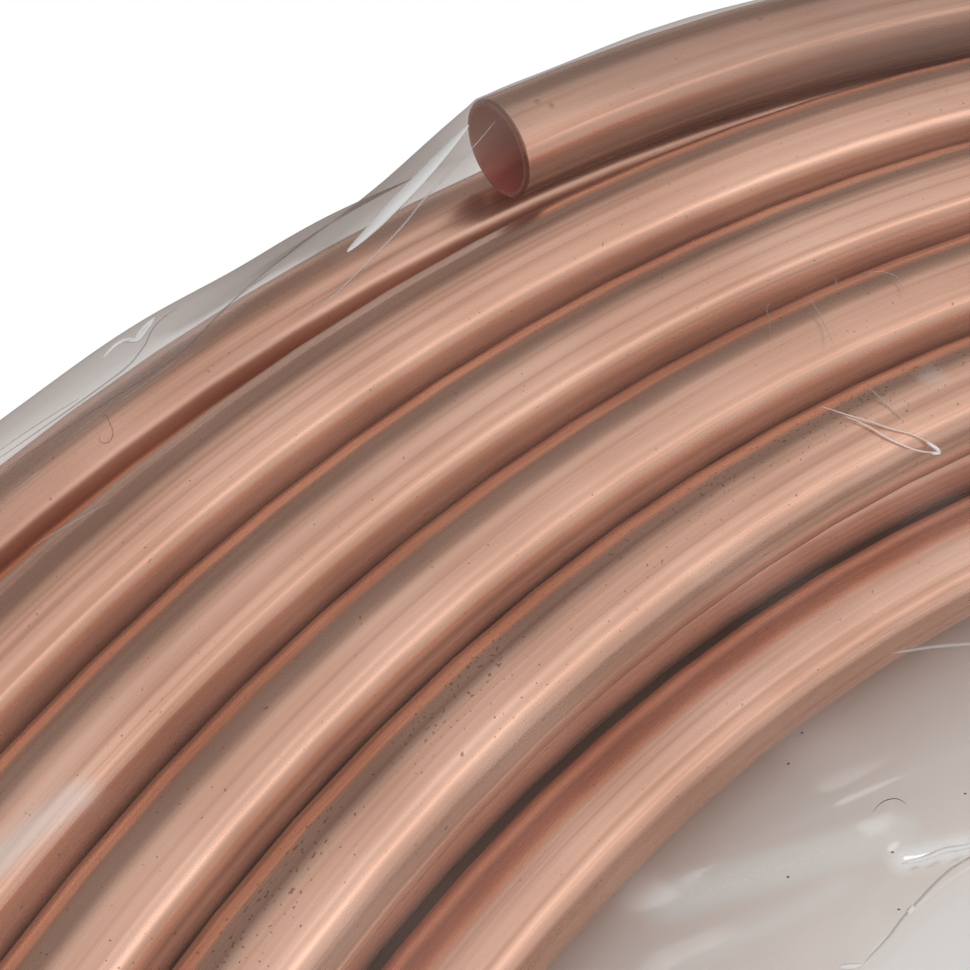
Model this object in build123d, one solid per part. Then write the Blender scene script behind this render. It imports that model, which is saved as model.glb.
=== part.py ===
from build123d import *
from math import cos, degrees, hypot, radians, sin
import os

# Tube: soft copper, half an inch outside, sold as a 15 m coil
tube_outside_dia = 12.7
tube_wall = 0.8
tube_length = 15000.0
cut_edge_radius = 0.5

# Winding: a top layer wound inwards, then a lower layer wound outwards
bore_dia = 385.0
neat_top_turns = 4
top_gap = 0.25
lower_gap = 1.2
layer_gap = 0.25
innermost_gap = 0.6
loose_turn_gap = 4.2

# Azimuths are counter-clockwise from +X, and the tube runs clockwise from its free end
free_end_azimuth = 56.0
free_end_tilt = 2.0
step_start_azimuth = 25.0
step_sweep = 110.0

# Clear film drawn over the coil, modelled thicker than the real film
film_thickness = 0.4
film_clearance = 0.3
film_centre_dia = 340.0

tube_radius = tube_outside_dia / 2
top_pitch = tube_outside_dia + top_gap
lower_pitch = tube_outside_dia + lower_gap
lower_z = film_thickness + film_clearance + tube_radius
top_z = lower_z + tube_outside_dia + layer_gap
lower_inner_radius = bore_dia / 2 + tube_radius
top_inner_radius = lower_inner_radius + tube_outside_dia + innermost_gap
top_outer_radius = top_inner_radius + top_pitch * (neat_top_turns - 1)
loose_radius = top_outer_radius + tube_outside_dia + loose_turn_gap


def outwards(azimuth):
    """Level unit vector that points away from the coil's axis."""
    return Vector(1, 0, 0).rotate(Axis.Z, azimuth)


def turned(arm, axis_direction, angle):
    """An arm swung round an axis, as a bend swings the tube round its centre."""
    return arm.rotate(Axis((0, 0, 0), axis_direction), angle)


class CentreLine:
    """The tube's centre line in arcs that meet tangentially, from its free end to its whole length."""

    def __init__(self):
        self.azimuth = free_end_azimuth
        self.length = 0.0
        self.arcs = []
        self.start_at_free_end()

    def start_at_free_end(self):
        """Begin on the loose turn, in a plane tilted so that the open cut stands a little higher."""
        sweep = free_end_azimuth - step_start_azimuth
        tilt = radians(free_end_tilt)
        foot = outwards(step_start_azimuth) * loose_radius + Vector(0, 0, top_z)
        to_centre = Vector(0, 0, sin(tilt)) - outwards(step_start_azimuth) * cos(tilt)
        axis_direction = to_centre.cross(outwards(step_start_azimuth + 90))
        centre = foot + to_centre * loose_radius
        self.point = centre + turned(foot - centre, axis_direction, -sweep)
        self.bend(centre, sweep, axis_direction)

    def bend(self, centre, sweep, axis_direction=(0, 0, -1)):
        """Add one arc, shortened where the tube comes to its end."""
        arm = self.point - centre
        sweep = min(sweep, degrees((tube_length - self.length) / arm.length))
        if sweep > 0:
            middle = centre + turned(arm, axis_direction, sweep / 2)
            end = centre + turned(arm, axis_direction, sweep)
            self.arcs.append(ThreePointArc(self.point, middle, end))
            self.point = end
            self.azimuth -= sweep
            self.length += radians(sweep) * arm.length

    def turn(self, sweep):
        """Stay at one radius about the coil's own axis."""
        self.bend(Vector(0, 0, self.point.Z), sweep)

    def step(self, change):
        """Move out by this change of radius, in two arcs over the step zone."""
        half = step_sweep / 2
        shift = change / (2 * (1 - cos(radians(half))))
        level = Vector(0, 0, self.point.Z)
        start_azimuth = self.azimuth
        self.bend(level - outwards(start_azimuth) * shift, half)
        self.bend(level + outwards(start_azimuth - step_sweep) * shift, half)

    def drop(self, new_z):
        """Go down a layer in half a turn, in a plane tilted so that both ends are level."""
        far_side = Vector(-self.point.X, -self.point.Y, new_z)
        axis_direction = outwards(self.azimuth - 90).cross(far_side - self.point)
        self.bend((self.point + far_side) * 0.5, 180, axis_direction)


def wind_coil():
    """The centre line of every turn: the top layer, the drop inside the bore, the lower layer."""
    line = CentreLine()
    neat_sweep = 360 - step_sweep
    line.step(top_outer_radius - loose_radius)
    for _ in range(neat_top_turns - 1):
        line.turn(neat_sweep)
        line.step(-top_pitch)
    line.turn(neat_sweep)
    line.step(lower_inner_radius - top_inner_radius)
    line.drop(lower_z)
    line.turn(neat_sweep - 180)
    while line.length < tube_length:
        line.step(lower_pitch)
        line.turn(neat_sweep)
    return Wire(line.arcs)


def copper_tube(path):
    """One hollow tube along the whole path, its loose end rolled in at the edge by the cutter."""
    cut = Plane(origin=path @ 0, z_dir=path % 0)
    section = cut * (Circle(tube_radius) - Circle(tube_radius - tube_wall))
    tube = sweep(section, path)
    loose_end = tube.faces().filter_by(GeomType.PLANE).sort_by_distance(path @ 0)[0]
    return fillet(loose_end.outer_wire().edge(), cut_edge_radius)


def film_outline(gap, path):
    """Half section of a film stretched round both layers, this gap away from the tube."""
    free_end = path @ 0
    hidden_end = path @ 1
    rounded_spots = [
        (hypot(hidden_end.X, hidden_end.Y), lower_z, tube_radius),
        (loose_radius, free_end.Z, tube_radius),
        (lower_inner_radius, top_z, tube_radius),
        (film_centre_dia / 2, lower_z - tube_radius, 0),
    ]
    circles = [Pos(x, z) * Circle(radius + gap) for x, z, radius in rounded_spots]
    return make_hull([circle.edge() for circle in circles])


def film_wrap(path):
    """The film all round the coil, its top and bottom pressed together inside the bore."""
    centre = Rectangle(film_centre_dia / 2, 2 * film_thickness, align=Align.MIN)
    outside = film_outline(film_clearance + film_thickness, path)
    section = outside + centre - film_outline(film_clearance, path)
    return revolve(Plane.XZ * section, Axis.Z)


os.makedirs("parts", exist_ok=True)
path = wind_coil()
export_step(copper_tube(path), "parts/copper_tube.step")
export_step(film_wrap(path), "parts/film_wrap.step")
print("centre line", round(path.length, 3), "mm in", len(path.edges()), "arcs")
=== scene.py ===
from math import atan2, cos, degrees, pi, radians, sin

import bpy
import numpy as np
from mathutils import Euler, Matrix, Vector
from mathutils.bvhtree import BVHTree


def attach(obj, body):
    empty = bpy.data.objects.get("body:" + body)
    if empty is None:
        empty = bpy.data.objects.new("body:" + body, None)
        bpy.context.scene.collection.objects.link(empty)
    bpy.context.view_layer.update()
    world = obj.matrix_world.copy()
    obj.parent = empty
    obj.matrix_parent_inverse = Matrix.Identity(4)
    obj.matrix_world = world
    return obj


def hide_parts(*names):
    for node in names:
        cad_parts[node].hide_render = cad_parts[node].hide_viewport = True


MM = 0.001

# The photograph's viewpoint
CAMERA_PLACE = (0.9943, 184.8833, 182.6754)
CAMERA_TURN = (32.6387, -5.8023, -69.2914)
SENSOR = 36.0
FRAME_PIXELS = 970
FOCAL_PIXELS = 1800.0
CLIP = (0.005, 50.0)

# The coil's section, as (radius, height) in millimetres: the point that the film is measured from,
# where the film comes down to the floor in the bore, and the height, radius and angles of the round
# of its outer rim
CORE = (229.0, 9.0)
FLOOR_CONTACT = 170.0
RIM_HEIGHT = 6.95
RIM_ROUND = 6.7
RIM_ANGLES = np.arange(88, -92, -8)

# How far the film stands off the tube, and the heights of its lower and upper side on the floor
TOUCH = 0.18
FILM_FLOOR = 0.35
FILM_TOP_FLOOR = 0.8

# Where the tube's outline is looked for, by rays from above and from outside
OUTLINE_RADII = np.arange(186.0, 277.0, 1.1)
OUTLINE_HEIGHTS = np.arange(8.0, 27.6, 1.3)
RAYS_FROM_HEIGHT = 0.05
RAYS_FROM_RADIUS = 0.32

# Beside what holds it up, the film sags away over this length, measured at this radius
SAG_LENGTH = 38.0
SAG_RADIUS = 265.0

# The film is evened out over this many degrees, but goes inwards by no more than this in millimetres
SMOOTH_DEGREES = 1.2
SMOOTH_INWARDS = 0.1

# The outer rim's radius by azimuth: slack at the tube's hidden end and in the photographed pockets
RIM = [
    (10.0, 271.5), (40.0, 268.7), (54.0, 268.7), (58.0, 270.0), (60.5, 271.9), (61.6, 271.1),
    (63.9, 269.0), (65.5, 271.3), (66.8, 272.7), (68.2, 271.8), (70.0, 271.2), (76.0, 271.6),
    (130.0, 270.4), (200.0, 270.2), (320.0, 273.6), (350.0, 273.6)]

# The photographed part of the coil, which has the finer film mesh
NEAR_FROM = 18.0
NEAR_TO = 100.0
NEAR_STEP = 0.17
FAR_STEP = 2.2

# A place on the film is its azimuth and its direction from the core point, both in degrees.
# From FLAT_EDGE on the film lies flat, and each further degree is 10 mm nearer the coil's axis.
FLAT_EDGE = degrees(atan2(FILM_TOP_FLOOR - CORE[1], FLOOR_CONTACT - CORE[0])) % 360
FLAT_DEGREE = 10.0

# Rows of the film mesh: radii under the coil and on the floor in the bore, and from, to and count
# of the directions between
UNDER_RADII = (272.0, 262.0, 240.0, 205.0, 160.0, 100.0, 40.0)
FLAT_RADII = (40.0, 90.0, 125.0, 143.0, 152.0, 158.0, 162.0, 165.0, 167.0, 168.6)
CURVED_ROWS = [(FLAT_EDGE, 173.0, 30), (173.0, 138.0, 28), (138.0, 28.0, 50)]
RIM_ROWS = (28.0, -11.0, 20)

# The film's gloss on the slope into the bore, as shares of the most by direction
BORE_GLOSS = 0.025
BORE_GLOSS_SHARES = [(171.0, 0.0), (175.0, 1.0), (183.0, 1.0), (FLAT_EDGE, 0.3)]

# Colours of the film's haze, folds and specks. Some are painted light: the weak haze's copper tint is
# painted copper light, the rosy, glare and white glint colours are painted highlights, and the dusky fold
# colour is painted shade.
MILK = (0.88, 0.87, 0.85)
ROSY_GLINT = (0.98, 0.84, 0.77)
GLARE = (1.0, 0.95, 0.92)
WHITE_GLINT = (1.0, 1.0, 0.99)
COPPER_LIGHT_TINT = (0.95, 0.48, 0.34)
FOLD_EDGE_SHADE = (0.20, 0.16, 0.15)
DIRT = (0.09, 0.05, 0.04)

# Painted shade: the film is given a dusky veil down its outer slope, where it gathers. By azimuth: from
# which direction outwards, and how much. It fades in over a few degrees.
GATHERED_SHADE = (0.30, 0.225, 0.19)
GATHER_FADE = 4.0
GATHERS = [
    (0.0, 9.0, 0.3), (20.0, 42.0, 0.36), (46.0, 36.0, 0.36), (55.0, 29.5, 0.35), (58.0, 30.0, 0.6),
    (60.0, 29.0, 0.65), (62.0, 28.0, 0.62), (64.0, 20.0, 0.52), (66.0, 11.0, 0.44), (72.0, 9.0, 0.42),
    (350.0, 9.0, 0.3)]

# Slight slackness all over: how many waves, how many times each goes round the coil, its bends
# from the bore to the rim, how their sum is spread and raised before it is cut off at 0 and 1, the
# most height in millimetres, the haze at rest and its rise, and the radii that it fades in between
WAVES = 9
WAVE_TURNS = (9, 60)
WAVE_BENDS = (2, 9)
WAVE_SPREAD = 6
WAVE_RAISED = 0.35
WAVE_HEIGHT = 0.3
WAVE_HAZE = (0.03, 0.03)
WAVE_RADII = (50.0, 170.0)

# Broad folds: the radius that their reach in azimuth is worked out for, the step along their routes
# in millimetres, and the steepness of their ends
LEAST_FOLD_RADIUS = 160.0
BROAD_STEP = 0.4
BROAD_TAPER = 5.0

# Pinched folds: the step along their routes, how far they go into the film, the angles of their
# section in degrees, and the size of their tips, where 0 would be a point
PINCHED_STEP = 0.5
PINCHED_ROOT = 0.05
PINCHED_ANGLES = (0, 36, 72, 108, 144, 180)
PINCHED_TIP = 0.02

# The film's haze under the coil and at its middle, and from where and over how much a stronger haze turns
# milky. A weaker haze has the copper's colour, painted copper light.
HAZE_UNDER = 0.01
HAZE_CENTRE = 0.02
MILKY_FROM = 0.06
MILKY_OVER = 0.08

# Broad folds of the photographed part: height, half width (mm), haze, extra gloss, route. Some of their
# haze is painted highlight, beside the film's milkiness.
BROAD_FOLDS = [
    (0.3, 1.5, 0.02, 0.03, [
        (68.3, 174.6), (66.2, 176.2), (63.3, 178.2), (62.2, 179.1), (59.3, 180.7), (55.2, 182.3),
        (51, 184)]),
    # Painted reflection: light bands in the bore, partly haze, partly real gloss
    (0.2, 2.4, 0.26, 0.04, [
        (69.5, 172.5), (68.1, 175.4), (65.1, 179), (61.8, 182.1), (58.7, 184.2), (57, 185.2)]),
    (0.2, 1.8, 0.14, 0.03, [(70.5, 178), (68.3, 180.5), (65.5, 182.5), (62.6, 184), (59.9, 185)]),
    (0.15, 1.4, 0.06, 0.03, [(65.8, 184.6), (62.4, 185.9), (58.9, 186.8)]),
    (0.3, 1.1, 0.05, 0.03, [(65, 185.7), (62.9, 186.8), (60.5, 187.3)]),
    # Painted highlight: the bright ridge in the bore, partly haze, partly real gloss
    (0.7, 1.2, 0.60, 0.45, [(60.2, 184.7), (59.3, 185.4), (58.3, 186), (57.4, 186.5), (56.2, 187.1)]),
    # Painted highlight: a bright flare at the left edge, drawn as haze
    (0.10, 1.5, 0.36, 0.12, [(81.2, 65.5), (79.4, 68.5), (78.1, 70.8), (77.1, 73.2), (75.8, 76)]),
    (0.15, 1.6, 0.14, 0.05, [(51.1, 129.3), (50.9, 132.4), (50.2, 133)]),
    (0.3, 1.6, 0.12, 0.05, [(61.4, 24.2), (59.6, 25.1), (57.6, 25.9), (56.6, 27)]),
]

# Pinched folds of the photographed part: width, height (mm), colour, haze, extra gloss, route. Some are
# painted light: dusky lines are painted shade along fold edges, and strong white, rosy and glare haze
# paints highlights.
PINCHED_FOLDS = [
    # Painted shade: dusky lines along fold edges
    (0.15, 0.12, FOLD_EDGE_SHADE, 0.28, 0.05, [
        (70.9, 8.7), (69.2, 10.1), (67.8, 10.3), (67.2, 10.2), (66.5, 8.5), (65.9, 6.3),
        (65.4, 5.1), (64.8, 4.7)]),
    (0.12, 0.10, FOLD_EDGE_SHADE, 0.20, 0.05, [
        (63.3, 18.2), (64.3, 17.2), (65.3, 18.9), (66.6, 20.6), (68, 17.9), (71.1, 12)]),
    (0.13, 0.10, FOLD_EDGE_SHADE, 0.22, 0.05, [(65.5, 18.7), (64, 16.4), (62.3, 14.1), (60.8, 8), (59.6, 5)]),
    (0.12, 0.08, FOLD_EDGE_SHADE, 0.15, 0.05, [(70.7, 7.4), (69.6, 8.2), (68.5, 9)]),
    # Painted highlight: a white streak, strong haze on a tall fold, with some real gloss
    (1.80, 0.45, MILK, 0.90, 0.30, [
        (61.8, 26.7), (60.6, 26.2), (59, 25.4), (57.9, 24.7), (56.9, 24.2)]),
    (0.28, 0.15, MILK, 0.25, 0.15, [
        (64.2, 31.4), (62.8, 30.5), (61.4, 29.3), (60.3, 28.3), (59.3, 27.3), (58.2, 26.8),
        (57.1, 26.4), (56.3, 25.9)]),
    (0.25, 0.10, MILK, 0.12, 0.10, [(64.3, 31.7), (65.6, 29.4), (67.1, 28.8)]),
    # Painted highlight: white squiggles of glare, drawn as haze
    (0.80, 0.30, WHITE_GLINT, 1.00, 0.40, [
        (67.1, 5.1), (66.6, 4.4), (66.3, 4.8), (66.3, 6.4), (65.9, 5.5), (65.4, 4.3)]),
    (0.60, 0.25, WHITE_GLINT, 0.90, 0.40, [(66.3, 5.9), (65.8, 4.7), (65.3, 4)]),
    (0.25, 0.08, MILK, 0.17, 0.10, [(72, 18.1), (71.5, 18.9), (70.8, 19.8)]),
    (0.25, 0.08, MILK, 0.15, 0.10, [(72.8, 31.1), (71.8, 33.1), (70.8, 35.4)]),
    (0.25, 0.08, MILK, 0.12, 0.10, [(70, 18.1), (69, 18.9), (68.5, 18.2)]),
    (0.30, 0.08, MILK, 0.12, 0.10, [(68.5, 19.8), (67.6, 20.7), (66.7, 21.1)]),
    # Painted highlights: a rosy hooked glint, its bright tip and rosy crease glints, drawn as haze
    (0.22, 0.16, ROSY_GLINT, 0.60, 0.30, [
        (54.5, 127), (54, 131.8), (53.5, 135.3), (53.1, 138.3), (52.5, 141.3), (52.1, 144.3),
        (51.8, 146.5), (51.7, 148)]),
    (0.24, 0.16, ROSY_GLINT, 0.75, 0.35, [
        (51.7, 148), (52.2, 146.7), (52.6, 145), (53, 142.3), (53.4, 139.3), (53.8, 134.4),
        (54.1, 131.6)]),
    (0.42, 0.22, GLARE, 0.95, 0.60, [(52.1, 144.6), (51.8, 147.2), (51.8, 148.2), (52.1, 147.2)]),
    (0.26, 0.10, ROSY_GLINT, 0.20, 0.10, [(52.8, 127.6), (52.7, 132.8), (52.5, 137.9)]),
    (0.22, 0.10, ROSY_GLINT, 0.15, 0.08, [(52.4, 90.8), (52.5, 100.6), (52.6, 106.7), (52.8, 113)]),
    (0.18, 0.08, ROSY_GLINT, 0.10, 0.06, [(53.5, 87.4), (53.8, 89.6), (53.9, 93.6), (54.2, 98.8)]),
    (0.20, 0.08, ROSY_GLINT, 0.10, 0.06, [(51.2, 88.6), (51.5, 94.2)]),
    (0.22, 0.08, MILK, 0.12, 0.10, [(50.4, 92.2), (49.9, 93.6), (49.5, 98.4), (49.7, 106.5)]),
    (0.45, 0.10, MILK, 0.17, 0.15, [
        (56.4, 171.4), (55.5, 172.5), (54.5, 173.7), (53.4, 175.1), (51.5, 177)]),
    # Painted shade: a dusky line along the edge where the film lies flat in the bore
    (0.28, 0.20, FOLD_EDGE_SHADE, 0.18, 0.10, [
        (54.8, 187.5), (56.9, 187.3), (57.9, 187.2), (58.8, 187.3), (59.8, 187.5), (60.7, 187.6),
        (61.4, 187.8), (62.8, 187.9)]),
    # Painted highlights: white glints on the ridge and by the flat edge in the bore, drawn as haze
    (0.60, 0.30, MILK, 0.95, 0.50, [
        (59.6, 185.3), (58.8, 185.8), (57.9, 186.1), (57, 186.7), (56, 187.1)]),
    (0.70, 0.25, MILK, 0.95, 0.50, [(60.4, 187.6), (59.8, 187.5)]),
    (0.60, 0.25, MILK, 0.95, 0.50, [(63.8, 187.1), (63.3, 187.6), (62.9, 187.9)]),
    (0.10, 0.06, DIRT, 0.80, 0.00, [
        (59.6, 181.8), (59.3, 181.6), (58.9, 181.7), (58.5, 182.1), (58.3, 182.8)]),
    (0.08, 0.06, DIRT, 0.55, 0.00, [
        (69.5, 23.3), (69.7, 24.8), (69.6, 26.3), (69.3, 25.3), (69.1, 22.8), (68.9, 20.4),
        (69, 19.9)]),
]

# Dust specks in the bore: their places, how long they are in degrees, and their width, height (mm),
# colour, haze and extra gloss
SPECKS = [(60.5, 172.8), (61.45, 174.4), (59.62, 184.6), (63.59, 181.3), (55.9, 184.5), (60.45, 187.2)]
SPECK_LONG = 0.12
SPECK_LOOKS = (0.2, 0.1, DIRT, 0.8, 0.0)

# Random folds go round the rest of the coil, between these azimuths. Below are the limits of their
# places, of their lean in azimuth and of their span of directions. The LOOKS of broad folds are the
# limits of their height, half width, haze and extra gloss.
REST = (74, 410)

# Broad folds that slant into the bore, this far apart before each is shifted. Their routes are
# shares of the lean, and directions.
SLANTING_APART = 7.5
SLANTING_SHIFT = (-2, 2)
SLANTING_LEAN = (5, 10)
SLANTING_ROUTE = [(1.0, 174.5), (0.6, 179), (0.25, 183), (0.0, 187)]
SLANTING_LOOKS = [(0.5, 1.1), (2.0, 3.2), (0.02, 0.08), (0.03, 0.12)]

# Broad folds over the turns
OVER_COUNT = 90
OVER_DIRECTIONS = (20, 165)
OVER_LEAN = (-3, 3)
OVER_SPAN = (8, 30)
OVER_LOOKS = [(0.15, 0.5), (1.0, 2.5), (0.01, 0.06), (0.0, 0.04)]

# Broad folds on the floor in the bore, which go all round
BORE_COUNT = 26
BORE_DIRECTIONS = (191, 199)
BORE_SPAN = (1.5, 3)
BORE_LEAN = (-6, 6)
BORE_LOOKS = [(0.3, 0.9), (1.5, 3), (0.01, 0.05), (0.0, 0.06)]

# Fine creases, with the limits of their bend, of their width and height in millimetres, and of
# their haze and extra gloss
FINE_COUNT = 190
FINE_AZIMUTHS = (76, 402)
FINE_DIRECTIONS = (12, 186)
FINE_LEAN = (-2.5, 2.5)
FINE_SPAN = (4, 16)
FINE_BEND = (-0.6, 0.6)
FINE_SIZE = [(0.2, 0.5), (0.05, 0.12)]
FINE_LOOKS = [(0.03, 0.14), (0.03, 0.15)]

# What the film lets through, from square on to edge on
FILM_TINTS = [(0.25, (0.885, 0.878, 0.868)), (0.6, (0.83, 0.805, 0.79)), (0.95, (0.72, 0.69, 0.67))]

# The film's gloss: square on, how much it grows edge on and how late, and its roughness
GLOSS_LEAST = 0.012
GLOSS_EDGE = 0.7
GLOSS_POWER = 5.0
GLOSS_ROUGHNESS = 0.1

# The copper from its dark streaks to its bright ones, which are also the smoothest
STREAKS = [(0.32, (0.70, 0.395, 0.29)), (0.47, (0.90, 0.545, 0.41)), (0.68, (0.97, 0.62, 0.485))]
STREAK_ROUGHNESS = [(0.3, 0.32), (0.7, 0.23)]
STREAKS_ALONG = 1.3
STREAKS_ACROSS = 800.0
SCRATCH_DEPTH = 0.00003

# Tarnish in clouds, and how strong it is
CLOUD_SCALE = 34.0
TARNISH = [(0.36, (0.82, 0.74, 0.70)), (0.58, 1.0)]
TARNISH_SHARE = 0.6

# Heights in metres: the flanks of the top turns are darker, painted shade where they meet, and rubbed
# dull where they meet. They are multiplied by LEVEL_SCALE, to fit a colour ramp.
LEVEL_SCALE = 30.0
SHADED_FLANKS = [(0.0105, 1.0), (0.0135, 1.0), (0.0165, 0.86), (0.0235, 0.86), (0.0257, 1.0)]
RUBBED_FLANKS = [(0.0136, 0.0), (0.0138, 0.9), (0.0225, 0.9), (0.0245, 0.0)]

# The lower turns near the bore are dull: by radius and by height in metres
DULL_RADII = [(0.2015, 0.0), (0.2045, 1.0), (0.222, 1.0), (0.226, 0.0)]
DULL_HEIGHTS = [(0.0122, 1.0), (0.0142, 0.0)]

# Painted shade: towards this side of the coil its outer turns are darker, by metres from the axis
SHADED_SIDE_TOWARDS = (0.82, 0.57, 0.0)
SHADED_SIDE = [(0.236, 1.0), (0.262, (0.80, 0.77, 0.765))]

# Pits lie where a fine noise is below a limit, which is higher on the turn that has most of them:
# by radius in metres, and by the clouds
PIT_SCALE = 2500.0
PIT_LIMIT = 0.155
PIT_LIMIT_RISE = 0.14
PITTED_RADII = [(0.0, 0.0), (0.2105, 0.0), (0.2120, 1.0), (0.2155, 1.0), (0.2170, 0.0)]
PITTED_CLOUDS = [(0.38, 0.0), (0.52, 1.0)]
PIT_SHARE = 0.7
PIT_COLOUR = (0.22, 0.12, 0.08)

# How metallic the copper is outside and inside the open end, and how much less where it is dull
LUSTRE = [(0.0, 0.9), (1.0, 0.25)]
DULL_LOSS = 0.5

# The tube's open end in millimetres: its middle, the way in, how far in and out its bore and its cut face
# are coloured, and their colours. The bore's dark red is painted reflection of copper light bounced deep
# inside it.
FREE_END = (149.81, 222.10, 21.33)
FREE_END_INWARDS = (0.829, -0.559, -0.031)
END_REACH = 16.0
END_BORE_RADIUS = 5.6
CUT_DEPTH = 0.3
CUT_RADIUS = 6.6
CUT_COLOUR = (0.3, 0.13, 0.10)
BORE_REFLECTION_COLOUR = (0.62, 0.15, 0.125)

# Stains on the loose turn near its end: place and size in millimetres, how ragged and how sharp
# their edge is, and how strong they are
STAINS = [((153.55, 219.05, 27.35), 0.42), ((153.85, 217.2, 27.5), 0.38), ((180.25, 198.36, 27.07), 0.3)]
STAIN_RAGGED = 0.0008
STAIN_MARGIN = 0.0006
STAIN_SHARP = 2200.0
STAIN_SHARE = 0.6
STAIN_COLOUR = (0.16, 0.10, 0.06)

# The floor by metres from the coil's axis: its colour, which is coppery under the turns as painted copper
# light and a darker warm painted shade beside the inner turn, the colour that the camera sees lit, warmed
# beside the turns as painted copper light, and the share of that against the shaded one
FLOOR_SIDE = 6.0
COPPER_LIGHT_UNDER_TURNS = (0.42, 0.22, 0.15)
FLOOR_COLOURS = [
    (0.172, (0.86, 0.84, 0.83)), (0.192, (0.72, 0.62, 0.58)), (0.2, COPPER_LIGHT_UNDER_TURNS), (0.265, COPPER_LIGHT_UNDER_TURNS),
    (0.278, (0.86, 0.86, 0.86))]
LIT_COLOURS = [(0.170, (1, 1, 1)), (0.172, (0.97, 0.895, 0.855)), (0.27, (1, 1, 1))]
LIT_SHARES = [(0.0, 0.72), (0.166, 0.7), (0.178, 0.4), (0.192, 0.0), (0.27, 0.0), (0.283, 1.0)]

# The side that the sky is brightest on, and its level from dim to bright
SKY_TOWARDS = (-0.183, -0.683, 0.707)
SKY_LEVELS = [(0.0, 0.26), (0.08, 0.32), (0.36, 0.82), (1.0, 0.88)]


def node(tree, kind, settings=(), **inputs):
    """A shader node with its settings, and constants on its own sockets."""
    made = tree.nodes.new(kind)
    for name, value in dict(settings).items():
        setattr(made, name, value)
    for name, value in inputs.items():
        made.inputs[name.replace("_", " ")].default_value = value
    return made


def material(name):
    """An empty node material, with its output node."""
    made = bpy.data.materials.new(name)
    made.use_nodes = True
    made.node_tree.nodes.clear()
    output = made.node_tree.nodes.new("ShaderNodeOutputMaterial")
    return made, made.node_tree, output


def wire(tree, value, socket):
    """Set a socket to a number, a colour or another socket."""
    if isinstance(value, (int, float)):
        socket.default_value = value
    elif isinstance(value, tuple):
        socket.default_value = value if len(value) == len(socket.default_value) else (*value, 1)
    else:
        tree.links.new(value, socket)


def sums(tree, operation, first, second=None, clamp=False):
    """One sum on sockets or numbers."""
    made = tree.nodes.new("ShaderNodeMath")
    made.operation = operation
    made.use_clamp = clamp
    wire(tree, first, made.inputs[0])
    if second is not None:
        wire(tree, second, made.inputs[1])
    return made.outputs[0]


def vectors(tree, operation, first, second=None):
    """One vector sum on sockets or constant vectors."""
    made = tree.nodes.new("ShaderNodeVectorMath")
    made.operation = operation
    wire(tree, first, made.inputs[0])
    if second is not None:
        wire(tree, second, made.inputs[1])
    return made.outputs["Value" if operation in ("LENGTH", "DOT_PRODUCT", "DISTANCE") else "Vector"]


def ramp(tree, source, stops):
    """A colour ramp with (place, colour or grey) stops."""
    made = tree.nodes.new("ShaderNodeValToRGB")
    while len(made.color_ramp.elements) < len(stops):
        made.color_ramp.elements.new(0.5)
    for element, (place, colour) in zip(made.color_ramp.elements, stops):
        element.position = place
        grey = (colour, colour, colour) if isinstance(colour, (int, float)) else colour
        element.color = (*grey, 1)
    tree.links.new(source, made.inputs[0])
    return made.outputs[0]


def by_height(tree, height, stops):
    """A colour ramp over the height above the floor, with (metres, colour or grey) stops."""
    level = sums(tree, "MULTIPLY", height, LEVEL_SCALE)
    return ramp(tree, level, [(metres_up * LEVEL_SCALE, colour) for metres_up, colour in stops])


def noise(tree, vector, scale, detail, roughness=0.55):
    """Noise between 0 and 1 at the vector's places."""
    made = node(tree, "ShaderNodeTexNoise", Scale=scale, Detail=detail, Roughness=roughness)
    tree.links.new(vector, made.inputs["Vector"])
    return made.outputs["Fac"]


def mix_colour(tree, blend, factor, first, second):
    """Two colours mixed or multiplied, on the sockets that this node has for colours."""
    made = tree.nodes.new("ShaderNodeMix")
    made.data_type = "RGBA"
    made.blend_type = blend
    wire(tree, factor, made.inputs[0])
    wire(tree, first, made.inputs[6])
    wire(tree, second, made.inputs[7])
    return made.outputs[2]


def mix_shader(tree, factor, first, second):
    """Two shaders mixed, 0 for the first."""
    made = tree.nodes.new("ShaderNodeMixShader")
    wire(tree, factor, made.inputs[0])
    tree.links.new(first, made.inputs[1])
    tree.links.new(second, made.inputs[2])
    return made.outputs[0]


def along_turns(tree, place, along, across):
    """Coordinates that run along the turns: azimuth times along, radius and height times across."""
    split = tree.nodes.new("ShaderNodeSeparateXYZ")
    tree.links.new(place, split.inputs[0])
    x, y, z = split.outputs
    joined = tree.nodes.new("ShaderNodeCombineXYZ")
    wire(tree, sums(tree, "MULTIPLY", sums(tree, "ARCTAN2", y, x), along), joined.inputs[0])
    level = vectors(tree, "MULTIPLY", place, (1.0, 1.0, 0.0))
    radius = vectors(tree, "LENGTH", level)
    wire(tree, sums(tree, "MULTIPLY", radius, across), joined.inputs[1])
    wire(tree, sums(tree, "MULTIPLY", z, across), joined.inputs[2])
    return joined.outputs[0], radius, z


def metres(point):
    """A point given in millimetres, in metres."""
    return tuple(c * MM for c in point)


def end_masks(tree, place):
    """1 inside the open end's bore, and 1 on its cut face; both are 0 on the outside of the tube."""
    from_end = vectors(tree, "SUBTRACT", place, metres(FREE_END))
    depth = vectors(tree, "DOT_PRODUCT", from_end, FREE_END_INWARDS)
    length = vectors(tree, "LENGTH", from_end)
    length_squared = sums(tree, "MULTIPLY", length, length)
    depth_squared = sums(tree, "MULTIPLY", depth, depth)
    aside = sums(tree, "SQRT", sums(tree, "SUBTRACT", length_squared, depth_squared))
    near = sums(tree, "LESS_THAN", length, END_REACH * MM)
    bore = sums(tree, "MULTIPLY", sums(tree, "LESS_THAN", aside, END_BORE_RADIUS * MM), near)
    shallow = sums(tree, "LESS_THAN", depth, CUT_DEPTH * MM)
    face = sums(tree, "MULTIPLY", shallow, sums(tree, "LESS_THAN", length, CUT_RADIUS * MM))
    return bore, face


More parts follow.
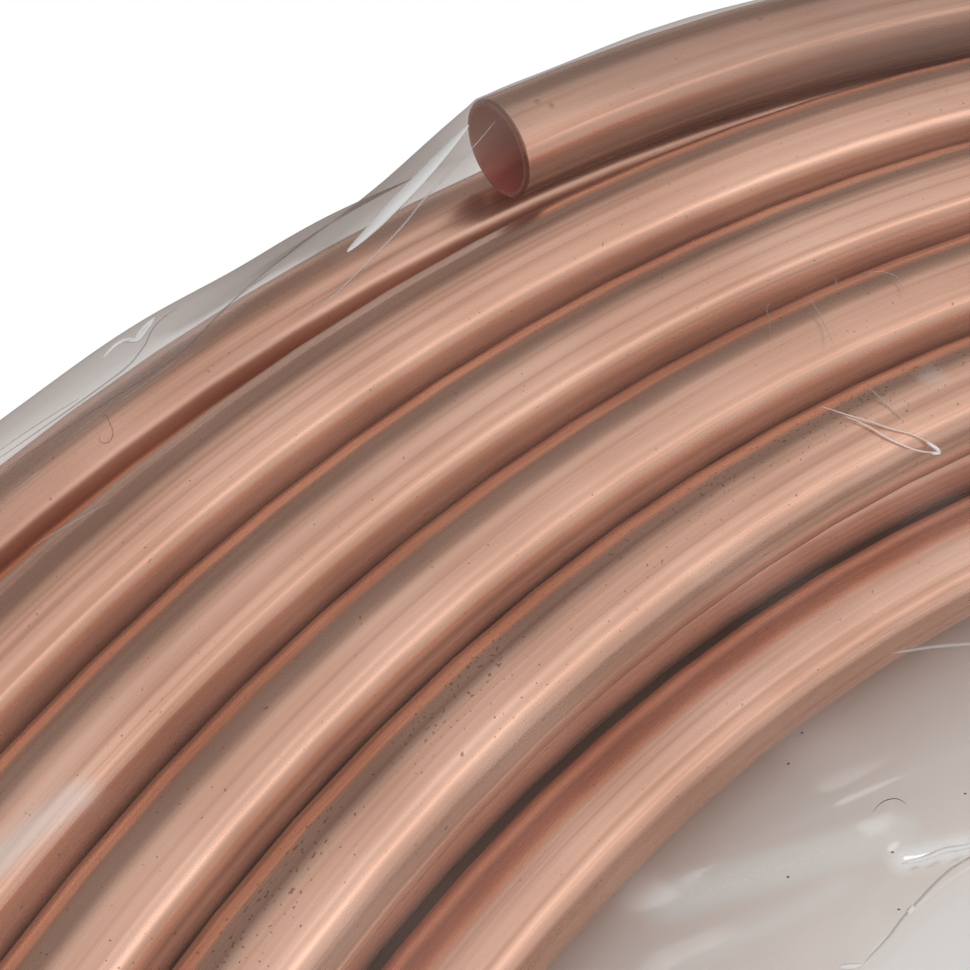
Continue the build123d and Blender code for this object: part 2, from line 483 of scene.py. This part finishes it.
def copper_colour(tree, place, streaks, radius, height):
    """The outside of the tube: streaks, soft tarnished clouds, painted shade on the flanks and on one
    side of the coil, pits and the stains near the end.
    """
    clouds = noise(tree, place, CLOUD_SCALE, detail=2.0)
    bright = ramp(tree, streaks, STREAKS)
    tarnish_and_shade = mix_colour(tree, "MULTIPLY", TARNISH_SHARE, bright, ramp(tree, clouds, TARNISH))
    # Painted shade: darker flanks where the turns meet, and a darker side of the coil
    tarnish_and_shade = mix_colour(tree, "MULTIPLY", 1.0, tarnish_and_shade, by_height(tree, height, SHADED_FLANKS))
    toward_shaded_side = vectors(tree, "DOT_PRODUCT", place, SHADED_SIDE_TOWARDS)
    tarnish_and_shade = mix_colour(tree, "MULTIPLY", 1.0, tarnish_and_shade, ramp(tree, toward_shaded_side, SHADED_SIDE))
    pitted = sums(tree, "MULTIPLY", ramp(tree, radius, PITTED_RADII), ramp(tree, clouds, PITTED_CLOUDS))
    limit = sums(tree, "ADD", sums(tree, "MULTIPLY", pitted, PIT_LIMIT_RISE), PIT_LIMIT)
    pit = sums(tree, "LESS_THAN", noise(tree, place, PIT_SCALE, detail=0.0), limit)
    spotted = mix_colour(tree, "MIX", sums(tree, "MULTIPLY", pit, PIT_SHARE), tarnish_and_shade, PIT_COLOUR)
    ragged = sums(tree, "MULTIPLY", streaks, STAIN_RAGGED)
    for spot, size in STAINS:
        apart = sums(tree, "ADD", vectors(tree, "DISTANCE", place, metres(spot)), ragged)
        within = sums(tree, "SUBTRACT", size * MM + STAIN_MARGIN, apart)
        stain = sums(tree, "MULTIPLY", within, STAIN_SHARP, clamp=True)
        stain = sums(tree, "MULTIPLY", stain, STAIN_SHARE)
        spotted = mix_colour(tree, "MIX", stain, spotted, STAIN_COLOUR)
    return spotted


def copper_material():
    """Bright drawn copper, with streaks along the turns and a dark open end whose red is painted
    reflection.
    """
    made, tree, output = material("drawn_copper")
    place = tree.nodes.new("ShaderNodeTexCoord").outputs["Object"]
    lines, radius, height = along_turns(tree, place, STREAKS_ALONG, STREAKS_ACROSS)
    streaks = noise(tree, lines, scale=1.0, detail=2.0, roughness=0.65)
    dark_bore, cut_face = end_masks(tree, place)
    outside = copper_colour(tree, place, streaks, radius, height)
    finished = mix_colour(tree, "MIX", cut_face, outside, CUT_COLOUR)
    # Painted reflection: dark red inside the open end
    finished = mix_colour(tree, "MIX", dark_bore, finished, BORE_REFLECTION_COLOUR)
    low_part = by_height(tree, height, DULL_HEIGHTS)
    low_turns = sums(tree, "MULTIPLY", ramp(tree, radius, DULL_RADII), low_part)
    dull = sums(tree, "MAXIMUM", low_turns, by_height(tree, height, RUBBED_FLANKS))
    loss = sums(tree, "MULTIPLY", dull, DULL_LOSS)
    lustre = sums(tree, "SUBTRACT", ramp(tree, dark_bore, LUSTRE), loss, clamp=True)
    shader = node(tree, "ShaderNodeBsdfPrincipled", {"distribution": "GGX"}, Anisotropic=0.3)
    tree.links.new(finished, shader.inputs["Base Color"])
    tree.links.new(lustre, shader.inputs["Metallic"])
    tree.links.new(ramp(tree, streaks, STREAK_ROUGHNESS), shader.inputs["Roughness"])
    tangent = node(tree, "ShaderNodeTangent", {"direction_type": "RADIAL", "axis": "Z"})
    tree.links.new(tangent.outputs[0], shader.inputs["Tangent"])
    bump = node(tree, "ShaderNodeBump", Strength=0.2, Distance=SCRATCH_DEPTH)
    tree.links.new(noise(tree, lines, scale=1.0, detail=1.0), bump.inputs["Height"])
    tree.links.new(bump.outputs[0], shader.inputs["Normal"])
    tree.links.new(shader.outputs[0], output.inputs[0])
    return made


def film_material():
    """Clear film that dims what lies under it a little, with gloss, milkiness and dirt on its outer face,
    and painted shade, copper light and highlights in that milkiness.
    """
    made, tree, output = material("clear_hazy_film")
    clear = tree.nodes.new("ShaderNodeBsdfTransparent")
    gloss = node(
        tree, "ShaderNodeBsdfAnisotropic", {"distribution": "GGX"}, Color=(1, 1, 1, 1),
        Roughness=GLOSS_ROUGHNESS)
    slant = node(tree, "ShaderNodeLayerWeight", Blend=0.5)
    tree.links.new(ramp(tree, slant.outputs["Facing"], FILM_TINTS), clear.inputs[0])
    edge = sums(tree, "MULTIPLY", sums(tree, "POWER", slant.outputs["Facing"], GLOSS_POWER), GLOSS_EDGE)
    glint = node(tree, "ShaderNodeAttribute", {"attribute_name": "glint"}).outputs["Fac"]
    inner_face = tree.nodes.new("ShaderNodeNewGeometry").outputs["Backfacing"]
    outer_face = sums(tree, "SUBTRACT", 1.0, inner_face)
    mirrored = sums(tree, "ADD", sums(tree, "ADD", edge, glint), GLOSS_LEAST, clamp=True)
    mirrored = sums(tree, "MULTIPLY", mirrored, outer_face)
    mirror = mix_shader(tree, mirrored, clear.outputs[0], gloss.outputs[0])
    # Real haze, with painted shade, copper light and highlights in its colour
    haze = node(tree, "ShaderNodeAttribute", {"attribute_name": "haze"})
    milk_and_painted_light = tree.nodes.new("ShaderNodeBsdfDiffuse")
    tree.links.new(haze.outputs["Color"], milk_and_painted_light.inputs[0])
    amount = sums(tree, "MULTIPLY", haze.outputs["Alpha"], outer_face)
    hazy = mix_shader(tree, amount, mirror, milk_and_painted_light.outputs[0])
    tree.links.new(hazy, output.inputs[0])
    return made


def film_azimuths():
    """Columns of the film mesh round the coil, in degrees, closer where it is photographed."""
    near = np.linspace(NEAR_FROM, NEAR_TO, round((NEAR_TO - NEAR_FROM) / NEAR_STEP), endpoint=False)
    rest = 360 - (NEAR_TO - NEAR_FROM)
    far = np.linspace(NEAR_TO, NEAR_TO + rest, round(rest / FAR_STEP), endpoint=False)
    return np.concatenate([near, far])


def film_directions():
    """Directions of the curved rows from the core point, from the bore over the top to the rim."""
    bands = [np.linspace(*band, endpoint=False) for band in CURVED_ROWS]
    return np.concatenate([*bands, np.linspace(*RIM_ROWS)])


def tube_outline(tree, azimuth):
    """Points of the wound tube's upper and outer outline at one azimuth, as (radius, height)."""
    direction = Vector((cos(radians(azimuth)), sin(radians(azimuth)), 0))
    points = []
    for radius in OUTLINE_RADII:
        start = direction * (radius * MM) + Vector((0, 0, RAYS_FROM_HEIGHT))
        hit = tree.ray_cast(start, Vector((0, 0, -1)))[0]
        if hit is not None:
            points.append((radius, hit.z / MM + TOUCH))
    for height in OUTLINE_HEIGHTS:
        start = direction * RAYS_FROM_RADIUS + Vector((0, 0, height * MM))
        hit = tree.ray_cast(start, -direction)[0]
        if hit is not None:
            points.append((Vector((hit.x, hit.y)).length / MM + TOUCH, height))
    return points


def upper_hull(points):
    """The taut line over the points, from the least radius round to the greatest, then down."""
    chain = []
    for point in sorted(set(points)):
        while len(chain) > 1:
            (ax, az), (bx, bz) = chain[-2], chain[-1]
            if (bx - ax) * (point[1] - az) - (bz - az) * (point[0] - ax) < 0:
                break
            chain.pop()
        chain.append(point)
    return chain


def reach(chain, directions):
    """How far the line stands from the core point in each direction."""
    found = np.zeros(len(directions))
    px = np.array([p[0] for p in chain]) - CORE[0]
    pz = np.array([p[1] for p in chain]) - CORE[1]
    for index, direction in enumerate(np.radians(directions)):
        dx, dz = cos(direction), sin(direction)
        side = px * dz - pz * dx
        for k in np.nonzero(side[:-1] * side[1:] <= 0)[0]:
            share = side[k] / (side[k] - side[k + 1] + 1e-12)
            x = px[k] + (px[k + 1] - px[k]) * share
            z = pz[k] + (pz[k + 1] - pz[k]) * share
            found[index] = max(found[index], x * dx + z * dz)
    return found


def rim_points(azimuth):
    """The rounded outer rim, from its top round to the floor side."""
    radius = np.interp(azimuth % 360, *zip(*RIM), period=360)
    turns = np.radians(RIM_ANGLES)
    return [(radius + RIM_ROUND * cos(t), RIM_HEIGHT + RIM_ROUND * sin(t)) for t in turns]


def taut_film(azimuths, directions):
    """The film's reach for each azimuth and direction, drawn tight over the turns."""
    tube = bpy.data.objects["copper_tube"]
    tree = BVHTree.FromPolygons(
        [v.co for v in tube.data.vertices], [p.vertices for p in tube.data.polygons])
    rows = []
    for azimuth in azimuths:
        rim = rim_points(azimuth)
        points = [(FLOOR_CONTACT, FILM_TOP_FLOOR)] + tube_outline(tree, azimuth)
        points += [p for p in rim if p[1] >= RIM_HEIGHT]
        chain = upper_hull(points)
        last = chain[-1]
        chain += [p for p in rim if p[1] < last[1]]
        chain.append((CORE[0], FILM_FLOOR))
        rows.append(reach(chain, directions))
    return np.array(rows)


def sagged(reaches, azimuths):
    """Let the film sag away, steeply at first, beside what holds it up."""
    runs = np.radians(np.diff(np.append(azimuths, azimuths[0] + 360))) * SAG_RADIUS
    kept = np.exp(-runs / SAG_LENGTH)
    result = reaches.copy()
    for _ in range(2):
        for i in range(len(azimuths)):
            result[i] = np.maximum(result[i], reaches[i] + (result[i - 1] - reaches[i]) * kept[i - 1])
        for i in range(len(azimuths) - 1, -1, -1):
            after = result[(i + 1) % len(azimuths)]
            result[i] = np.maximum(result[i], reaches[i] + (after - reaches[i]) * kept[i])
    return result


def smoothed(values, azimuths, width):
    """A running mean over azimuth, about this many degrees wide."""
    step = 0.25
    even = np.arange(0, 360, step)
    turned = azimuths % 360
    order = np.argsort(turned)
    result = np.empty_like(values)
    count = max(1, round(width / step))
    kernel = np.hanning(2 * count + 3)[1:-1]
    kernel /= kernel.sum()
    for j in range(values.shape[1]):
        line = np.interp(even, turned[order], values[order, j], period=360)
        padded = np.concatenate([line[-count - 1:], line, line[:count + 1]])
        line = np.convolve(padded, kernel, mode="same")[count + 1:-count - 1]
        result[:, j] = np.interp(turned, even, line, period=360)
    return result


def unit(arrows):
    """Vectors of length 1 in the same directions."""
    return arrows / np.maximum(np.linalg.norm(arrows, axis=-1, keepdims=True), 1e-9)


class FilmGrid:
    """The film's upper side as a grid of points, by azimuth and by direction from the core point."""

    def __init__(self):
        self.azimuths = film_azimuths()
        curved = film_directions()
        flat = np.array(FLAT_RADII)
        self.directions = np.concatenate([FLAT_EDGE + (FLOOR_CONTACT - flat) / FLAT_DEGREE, curved])
        reaches = sagged(taut_film(self.azimuths, curved), self.azimuths)
        reaches = np.maximum(smoothed(reaches, self.azimuths, SMOOTH_DEGREES), reaches - SMOOTH_INWARDS)
        count = len(self.azimuths)
        radii = np.hstack([np.tile(flat, (count, 1)), CORE[0] + reaches * np.cos(np.radians(curved))])
        heights = np.hstack([
            np.full((count, len(flat)), FILM_TOP_FLOOR), CORE[1] + reaches * np.sin(np.radians(curved))])
        turn = np.radians(self.azimuths)[:, None]
        self.points = np.stack([radii * np.cos(turn), radii * np.sin(turn), heights], 2)
        self.haze = np.zeros((count, len(self.directions)))
        in_bore = np.interp(self.directions, *zip(*BORE_GLOSS_SHARES))
        self.glint = np.tile(BORE_GLOSS * in_bore, (count, 1))
        # Painted shade: a dusky veil down the film's outer slope
        places, directions, amounts = zip(*GATHERS)
        gathered_from, amounts = (
            np.interp(self.azimuths % 360, places, values, period=360)[:, None]
            for values in (directions, amounts))
        self.shade_veil = amounts * np.clip((gathered_from - self.directions) / GATHER_FADE, 0, 1)
        self.set_normals()

    def set_normals(self):
        """Outward normals at the grid's points."""
        along = np.roll(self.points, -1, 0) - np.roll(self.points, 1, 0)
        across = np.gradient(self.points, axis=1)
        self.normals = unit(np.cross(across, along))

    def sample(self, values, route):
        """Values of the grid at (azimuth, direction) places."""
        route = np.asarray(route, float)
        turned = (route[:, 0] - self.azimuths[0]) % 360
        column = np.interp(turned, np.append(self.azimuths, self.azimuths[0] + 360) - self.azimuths[0],
                           np.arange(len(self.azimuths) + 1))
        row = np.interp(-route[:, 1], -self.directions, np.arange(len(self.directions)))
        c0 = column.astype(int) % len(self.azimuths)
        c1 = (c0 + 1) % len(self.azimuths)
        r0 = np.minimum(row.astype(int), len(self.directions) - 2)
        cf = (column - column.astype(int))[:, None]
        rf = (row - r0)[:, None]
        return ((values[c0, r0] * (1 - rf) + values[c0, r0 + 1] * rf) * (1 - cf)
                + (values[c1, r0] * (1 - rf) + values[c1, r0 + 1] * rf) * cf)

    def spine(self, route, step):
        """A smooth line on the film through the route, and its normals, this step (mm) apart."""
        line = np.asarray(route, float)
        for _ in range(3):
            cut = np.empty((2 * len(line) - 2, 2))
            cut[0::2] = line[:-1] * 0.75 + line[1:] * 0.25
            cut[1::2] = line[:-1] * 0.25 + line[1:] * 0.75
            line = np.vstack([line[:1], cut, line[-1:]])
        points = self.sample(self.points, line)
        run = np.append(0, np.cumsum(np.linalg.norm(np.diff(points, axis=0), axis=1)))
        even = np.linspace(0, run[-1], max(4, int(run[-1] / step) + 1))
        places = np.stack([np.interp(even, run, line[:, k]) for k in (0, 1)], 1)
        return self.sample(self.points, places), unit(self.sample(self.normals, places))

    def raise_folds(self, folds):
        """Lift the film along broad folds, which end in points. Each reaches three half widths."""
        lift = np.zeros(self.haze.shape)
        in_bore = self.glint[0] / BORE_GLOSS
        for height, width, haze, glint, route in folds:
            spine, _ = self.spine(route, BROAD_STEP)
            azimuths = [azimuth for azimuth, _ in route]
            margin = degrees(3 * width / LEAST_FOLD_RADIUS)
            low, high = min(azimuths) - margin, max(azimuths) + margin
            columns = np.nonzero((self.azimuths - low) % 360 < high - low)[0]
            near = self.points[columns].reshape(-1, 3)
            apart = np.linalg.norm(near[:, None, :] - spine[None], axis=2)
            place = apart.argmin(1) / (len(spine) - 1)
            taper = np.clip(np.minimum(place, 1 - place) * BROAD_TAPER, 0, 1)
            shape = np.exp(-(apart.min(1) / width) ** 2) * taper * taper * (3 - 2 * taper)
            shape = shape.reshape(len(columns), -1)
            lift[columns] = (lift[columns] ** 4 + (height * shape) ** 4) ** 0.25
            self.haze[columns] = np.maximum(self.haze[columns], haze * shape)
            self.glint[columns] = np.maximum(self.glint[columns], BORE_GLOSS * in_bore + glint * shape)
        self.points += self.normals * lift[:, :, None]
        self.set_normals()

    def ripple(self, rng):
        """Slight slackness all over: long waves, never inwards."""
        along = np.radians(self.azimuths)[:, None]
        across = np.radians(self.directions)[None, :]
        wave = np.zeros(self.haze.shape)
        for _ in range(WAVES):
            turns, bends = int(rng.integers(*WAVE_TURNS)), rng.uniform(*WAVE_BENDS)
            wave += np.sin(turns * along + bends * across + rng.uniform(0, 2 * pi))
        wave = np.clip(wave / WAVE_SPREAD + WAVE_RAISED, 0, 1)
        radii = np.linalg.norm(self.points[:, :, :2], axis=2)
        wave *= np.clip((radii - WAVE_RADII[0]) / (WAVE_RADII[1] - WAVE_RADII[0]), 0, 1)
        self.points += self.normals * (WAVE_HEIGHT * wave)[:, :, None]
        self.haze += WAVE_HAZE[0] + WAVE_HAZE[1] * wave
        self.set_normals()


def drawn(rng, *limits):
    """A random value between each pair of limits, drawn in their order."""
    return [rng.uniform(*pair) for pair in limits]


def random_broad_folds(rng):
    """Broad folds round the rest of the coil: slanting into the bore, over the turns, and in the bore."""
    folds = []
    for azimuth in np.arange(*REST, SLANTING_APART):
        shift, lean = drawn(rng, SLANTING_SHIFT, SLANTING_LEAN)
        looks = drawn(rng, *SLANTING_LOOKS)
        route = [(azimuth + shift + lean * share, direction) for share, direction in SLANTING_ROUTE]
        folds.append((*looks, route))
    for _ in range(OVER_COUNT):
        azimuth, direction, lean, span = drawn(rng, REST, OVER_DIRECTIONS, OVER_LEAN, OVER_SPAN)
        looks = drawn(rng, *OVER_LOOKS)
        route = [
            (azimuth, direction), (azimuth + lean, direction - span / 2),
            (azimuth + 1.2 * lean, direction - span)]
        folds.append((*looks, route))
    for _ in range(BORE_COUNT):
        azimuth, direction, span = drawn(rng, (0, 360), BORE_DIRECTIONS, BORE_SPAN)
        looks = drawn(rng, *BORE_LOOKS)
        lean = rng.uniform(*BORE_LEAN)
        folds.append((*looks, [(azimuth, direction), (azimuth + lean, direction - span)]))
    return folds


def random_pinched_folds(rng):
    """Fine creases all round, fewer where the photograph shows few."""
    folds = []
    for _ in range(FINE_COUNT):
        azimuth, direction, lean, span, bend = drawn(
            rng, FINE_AZIMUTHS, FINE_DIRECTIONS, FINE_LEAN, FINE_SPAN, FINE_BEND)
        width, height = drawn(rng, *FINE_SIZE)
        haze, glint = drawn(rng, *FINE_LOOKS)
        route = [
            (azimuth, direction), (azimuth + lean / 2 + bend, direction - span / 2),
            (azimuth + lean, direction - span)]
        folds.append((width, height, MILK, haze, glint, route))
    return folds


def speck_folds():
    """Dust specks as the shortest of pinched folds."""
    return [(*SPECK_LOOKS, [(azimuth, direction), (azimuth + SPECK_LONG, direction - SPECK_LONG)])
            for azimuth, direction in SPECKS]


def new_mesh(name, points, faces, colours, glints):
    """A smooth mesh with the film's two vertex attributes."""
    mesh = bpy.data.meshes.new(name)
    mesh.from_pydata([tuple(p) for p in np.asarray(points) * MM], [], faces)
    mesh.update()
    mesh.polygons.foreach_set("use_smooth", [True] * len(mesh.polygons))
    haze = mesh.attributes.new("haze", "FLOAT_COLOR", "POINT")
    haze.data.foreach_set("color", np.asarray(colours, dtype=np.float32).ravel())
    glint = mesh.attributes.new("glint", "FLOAT", "POINT")
    glint.data.foreach_set("value", np.asarray(glints, dtype=np.float32))
    return mesh


def film_mesh(grid):
    """The whole film as one closed sheet: over the top, round the rim and under the coil."""
    count = len(grid.azimuths)
    turn = np.radians(grid.azimuths)[:, None]
    under = np.array(UNDER_RADII)[None, :]
    low = np.full((count, under.size), FILM_FLOOR)
    points = np.concatenate([
        grid.points, np.stack([under * np.cos(turn), under * np.sin(turn), low], 2)], 1)
    rows = points.shape[1]
    vertices = list(points.reshape(-1, 3)) + [(0, 0, FILM_TOP_FLOOR), (0, 0, FILM_FLOOR)]
    top_centre, floor_centre = count * rows, count * rows + 1
    faces = []
    for i in range(count):
        n = (i + 1) % count
        for j in range(rows - 1):
            faces.append((i * rows + j, i * rows + j + 1, n * rows + j + 1, n * rows + j))
        faces.append((top_centre, i * rows, n * rows))
        faces.append((floor_centre, n * rows + rows - 1, i * rows + rows - 1))
    haze = np.hstack([grid.haze, np.full((count, under.size), HAZE_UNDER)])
    haze = np.minimum(1, haze)[:, :, None]
    # Painted shade: the dusky veil, which strong haze covers
    shade_veil = np.hstack([grid.shade_veil, np.zeros((count, under.size))])[:, :, None] * (1 - haze)
    milkiness = np.clip((haze - MILKY_FROM) / MILKY_OVER, 0, 1)
    # Painted copper light: a weaker haze takes the copper's colour
    own = np.array(MILK) * milkiness + np.array(COPPER_LIGHT_TINT) * (1 - milkiness)
    mixed = (own * haze + np.array(GATHERED_SHADE) * shade_veil) / (haze + shade_veil)
    colours = np.concatenate([mixed, haze + shade_veil], 2).reshape(-1, 4)
    colours = np.vstack([colours, [(*COPPER_LIGHT_TINT, HAZE_CENTRE), (*COPPER_LIGHT_TINT, HAZE_UNDER)]])
    glints = np.hstack([grid.glint, np.zeros((count, under.size))]).ravel()
    return new_mesh("film", vertices, faces, colours, np.append(glints, (0, 0)))


def folds_mesh(grid, folds):
    """Pinched folds as fine closed ridges that stand on the film and end in points."""
    arc = np.radians(PINCHED_ANGLES)
    points, faces, colours, glints = [], [], [], []
    for width, height, colour, haze, glint, route in folds:
        spine, normals = grid.spine(route, PINCHED_STEP)
        sides = unit(np.cross(normals, unit(np.gradient(spine, axis=0))))
        swell = np.sqrt(np.sin(np.linspace(PINCHED_TIP, pi - PINCHED_TIP, len(spine))))
        start = len(points)
        for point, normal, side, size in zip(spine, normals, sides, swell):
            for a in arc:
                aside, up = cos(a) * width / 2 * size, sin(a) * height * size
                points.append(point + side * aside + normal * up)
            points.append(point - normal * PINCHED_ROOT)
        ring = len(arc) + 1
        for i in range(len(spine) - 1):
            a, b = start + i * ring, start + (i + 1) * ring
            for j in range(ring):
                k = (j + 1) % ring
                faces.append((a + j, a + k, b + k, b + j))
        last = start + (len(spine) - 1) * ring
        faces.append(tuple(start + j for j in reversed(range(ring))))
        faces.append(tuple(last + j for j in range(ring)))
        colours += [(*colour, haze)] * (ring * len(spine))
        glints += [glint] * (ring * len(spine))
    return new_mesh("film_folds", points, faces, colours, glints)


def add_piece(name, mesh, finish):
    """A piece of the film that stands for the CAD film and rides with the coil."""
    piece = bpy.data.objects.new(name, mesh)
    bpy.context.scene.collection.objects.link(piece)
    mesh.materials.append(finish)
    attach(piece, "root")
    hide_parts("film_wrap")
    return piece


def add_film():
    """The wrap, its broad folds in its own mesh and its pinched folds as ridges on it."""
    rng = np.random.default_rng(7)
    grid = FilmGrid()
    grid.ripple(rng)
    grid.raise_folds(random_broad_folds(rng) + BROAD_FOLDS)
    finish = film_material()
    film = add_piece("film", film_mesh(grid), finish)
    pinched = PINCHED_FOLDS + speck_folds() + random_pinched_folds(rng)
    folds = add_piece("film_folds", folds_mesh(grid, pinched), finish)


def dress_copper():
    """The copper finish on the CAD tube."""
    finish = copper_material()
    for place in bpy.data.objects["copper_tube"].material_slots:
        place.material = finish


def add_floor():
    """A white floor that keeps the coil's shadow, most of all beside the turns in the bore, with painted
    copper light under and beside the turns and painted shade beside them.
    """
    made, tree, output = material("white_floor")
    matt = tree.nodes.new("ShaderNodeBsdfDiffuse")
    white = node(tree, "ShaderNodeEmission", Strength=1.0)
    radius = vectors(tree, "LENGTH", tree.nodes.new("ShaderNodeTexCoord").outputs["Object"])
    # Painted copper light under the turns and painted shade beside the inner turn
    tree.links.new(ramp(tree, radius, FLOOR_COLOURS), matt.inputs[0])
    # Painted copper light: the lit floor is warmer beside the turns in the bore
    tree.links.new(ramp(tree, radius, LIT_COLOURS), white.inputs[0])
    share = ramp(tree, radius, LIT_SHARES)
    path = tree.nodes.new("ShaderNodeLightPath")
    seen = sums(tree, "MAXIMUM", path.outputs["Is Camera Ray"], path.outputs["Is Transmission Ray"])
    both = mix_shader(tree, sums(tree, "MULTIPLY", seen, share), matt.outputs[0], white.outputs[0])
    tree.links.new(both, output.inputs[0])
    mesh = bpy.data.meshes.new("floor")
    places = [(x * FLOOR_SIDE, y * FLOOR_SIDE, 0) for x, y in ((-1, -1), (1, -1), (1, 1), (-1, 1))]
    mesh.from_pydata(places, [], [(0, 1, 2, 3)])
    floor = bpy.data.objects.new("floor", mesh)
    bpy.context.scene.collection.objects.link(floor)
    floor.data.materials.append(made)


def add_world():
    """Soft light from a sky that is bright on one side and dim round the rest, on a white background."""
    world = bpy.data.worlds.new("studio")
    bpy.context.scene.world = world
    world.use_nodes = True
    tree = world.node_tree
    tree.nodes.clear()
    output = tree.nodes.new("ShaderNodeOutputWorld")
    coords = tree.nodes.new("ShaderNodeTexCoord")
    towards = vectors(tree, "DOT_PRODUCT", coords.outputs["Generated"], SKY_TOWARDS)
    level = ramp(tree, towards, SKY_LEVELS)
    light = tree.nodes.new("ShaderNodeBackground")
    tree.links.new(level, light.inputs[0])
    white = node(tree, "ShaderNodeBackground", Color=(1, 1, 1, 1))
    path = tree.nodes.new("ShaderNodeLightPath")
    both = mix_shader(tree, path.outputs["Is Camera Ray"], light.outputs[0], white.outputs[0])
    tree.links.new(both, output.inputs[0])


def add_lamp(name, azimuth, elevation, distance, size, power):
    """A soft round lamp that faces the coil."""
    data = bpy.data.lights.new(name, "AREA")
    data.shape = "DISK"
    data.size = size
    data.energy = power
    lamp = bpy.data.objects.new(name, data)
    a, e = radians(azimuth), radians(elevation)
    back = Vector((cos(a) * cos(e), sin(a) * cos(e), sin(e)))
    lamp.location = back * distance
    lamp.rotation_euler = back.to_track_quat("Z", "Y").to_euler()
    bpy.context.scene.collection.objects.link(lamp)


def add_camera():
    """The photograph's camera."""
    data = bpy.data.cameras.new("camera")
    data.sensor_width = SENSOR
    data.lens = FOCAL_PIXELS / FRAME_PIXELS * SENSOR
    data.clip_start, data.clip_end = CLIP
    camera = bpy.data.objects.new("camera", data)
    camera.location = metres(CAMERA_PLACE)
    camera.rotation_euler = Euler([radians(x) for x in CAMERA_TURN])
    bpy.context.scene.collection.objects.link(camera)
    bpy.context.scene.camera = camera


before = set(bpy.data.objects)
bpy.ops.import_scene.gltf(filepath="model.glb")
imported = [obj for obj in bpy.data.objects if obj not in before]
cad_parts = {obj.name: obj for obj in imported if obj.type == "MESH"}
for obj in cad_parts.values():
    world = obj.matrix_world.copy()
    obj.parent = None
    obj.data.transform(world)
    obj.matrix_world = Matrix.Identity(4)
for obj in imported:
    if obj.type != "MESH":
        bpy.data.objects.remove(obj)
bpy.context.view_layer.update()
bpy.context.scene.view_settings.view_transform = "Standard"
bpy.context.scene.cycles.max_bounces = 6
bpy.context.scene.cycles.use_light_tree = False
add_camera()
add_world()
add_lamp("key", azimuth=273, elevation=41, distance=1.2, size=0.28, power=0.41)
add_lamp("overhead", azimuth=296, elevation=60, distance=1.2, size=0.2, power=0.08)
add_floor()
dress_copper()
add_film()
